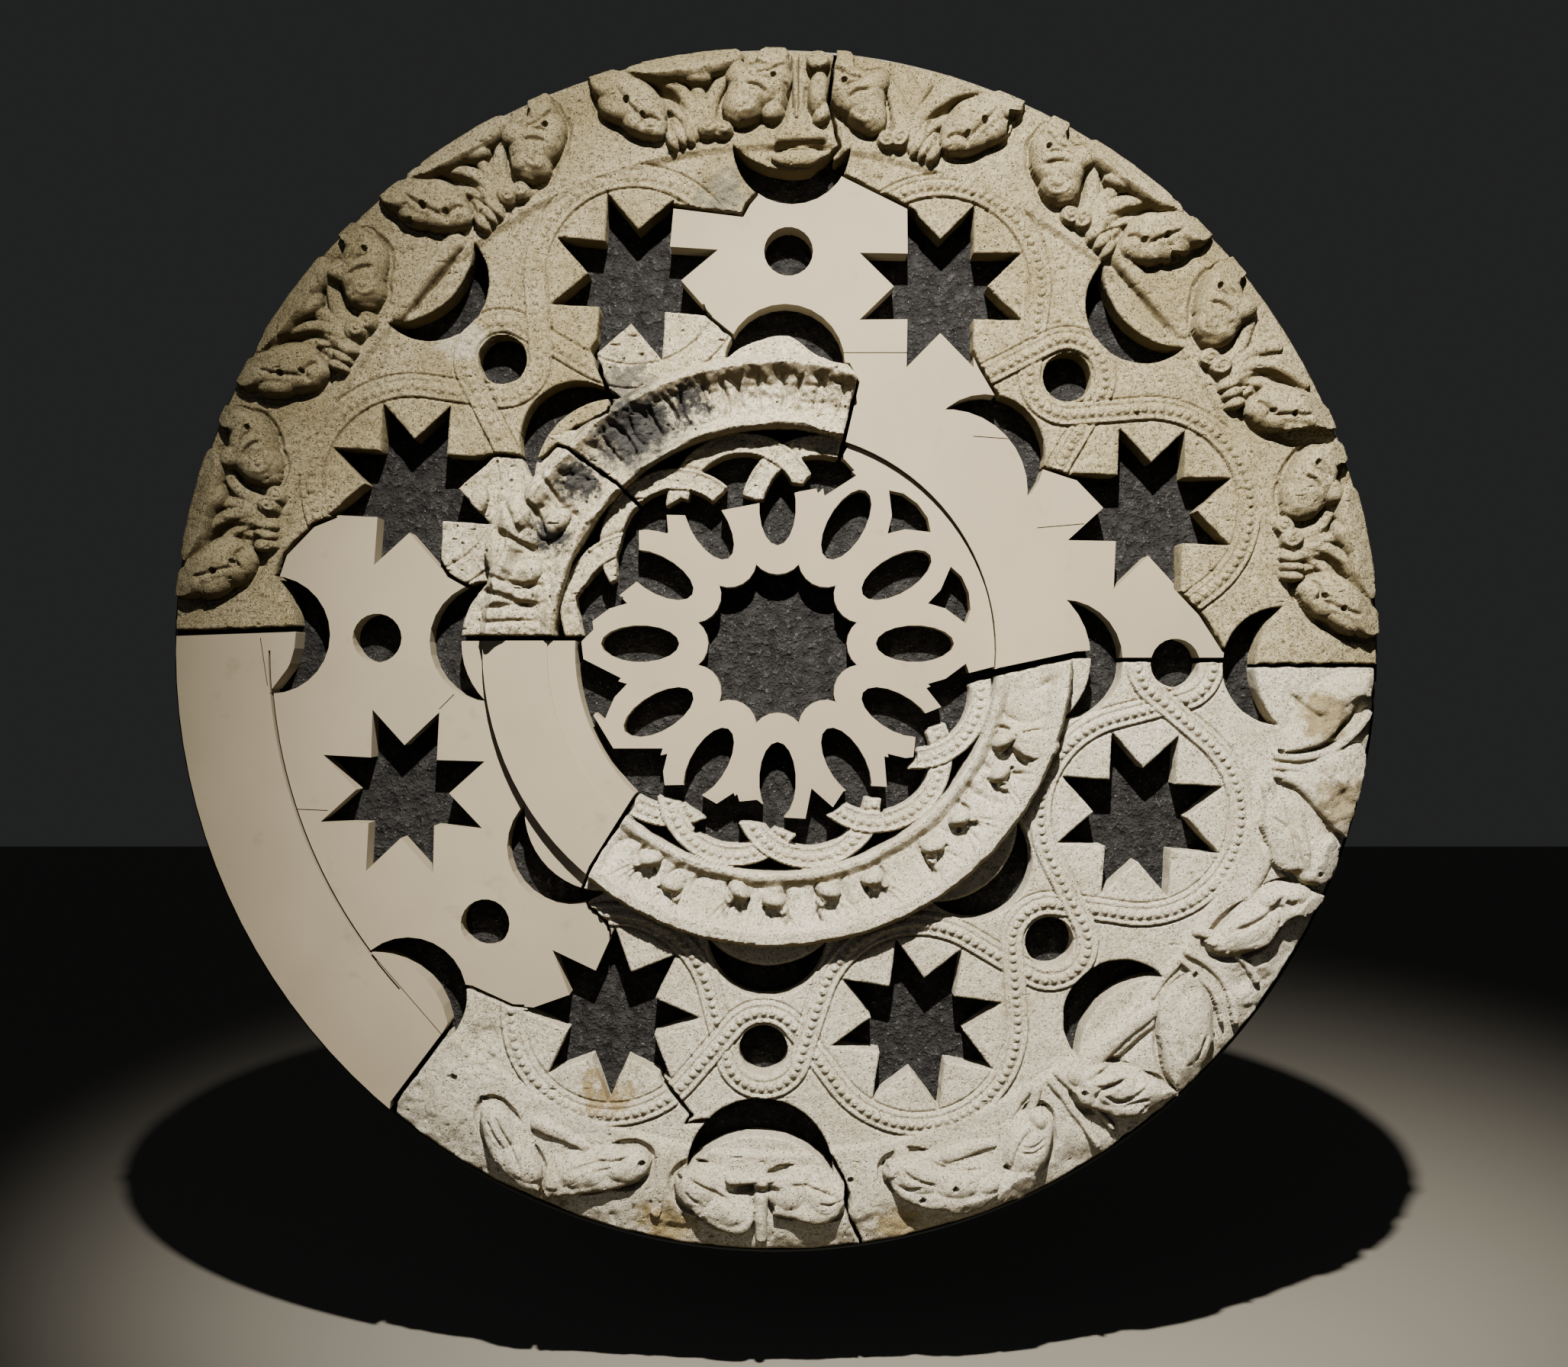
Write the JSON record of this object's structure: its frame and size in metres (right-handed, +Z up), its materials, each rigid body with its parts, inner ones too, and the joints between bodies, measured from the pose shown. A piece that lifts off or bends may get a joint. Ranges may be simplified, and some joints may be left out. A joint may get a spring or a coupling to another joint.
{
  "type": "rose window",
  "caption": "Round carved stone window of star, circle and crescent openings with a leaf border, completed by plain boards on a dark round backing plate",
  "frame": {"origin": "centre of the flat back face of the backing plate, on the wall", "axes": "+X to the viewer's right, +Y into the wall, +Z up"},
  "size_m": [2.4266, 0.18, 2.4266],
  "materials": {
    "granite_warm": "hewn, weathered, warm yellow grey",
    "granite_pale": "hewn, weathered, pale grey",
    "granite_stained": "hewn, eroded, with slate coloured stains",
    "fill_board": "painted board, matt grey beige",
    "back_render": "board with a rough charcoal coat",
    "rim_steel": "black, satin"
  },
  "bodies": {
    "root": {"granite_upper_left": "granite_warm", "granite_upper_right": "granite_warm", "granite_lower_right": "granite_pale", "granite_bottom": "granite_pale", "granite_ring_left": "granite_stained", "granite_ring_top": "granite_stained", "fill_upper_right": "fill_board", "fill_left_tracery": "fill_board", "fill_left_border": "fill_board", "fill_left_ring": "fill_board", "fill_wheel": "fill_board", "back_plate": "back_render", "rim_hoop": "rim_steel"}
  },
  "joints": []
}
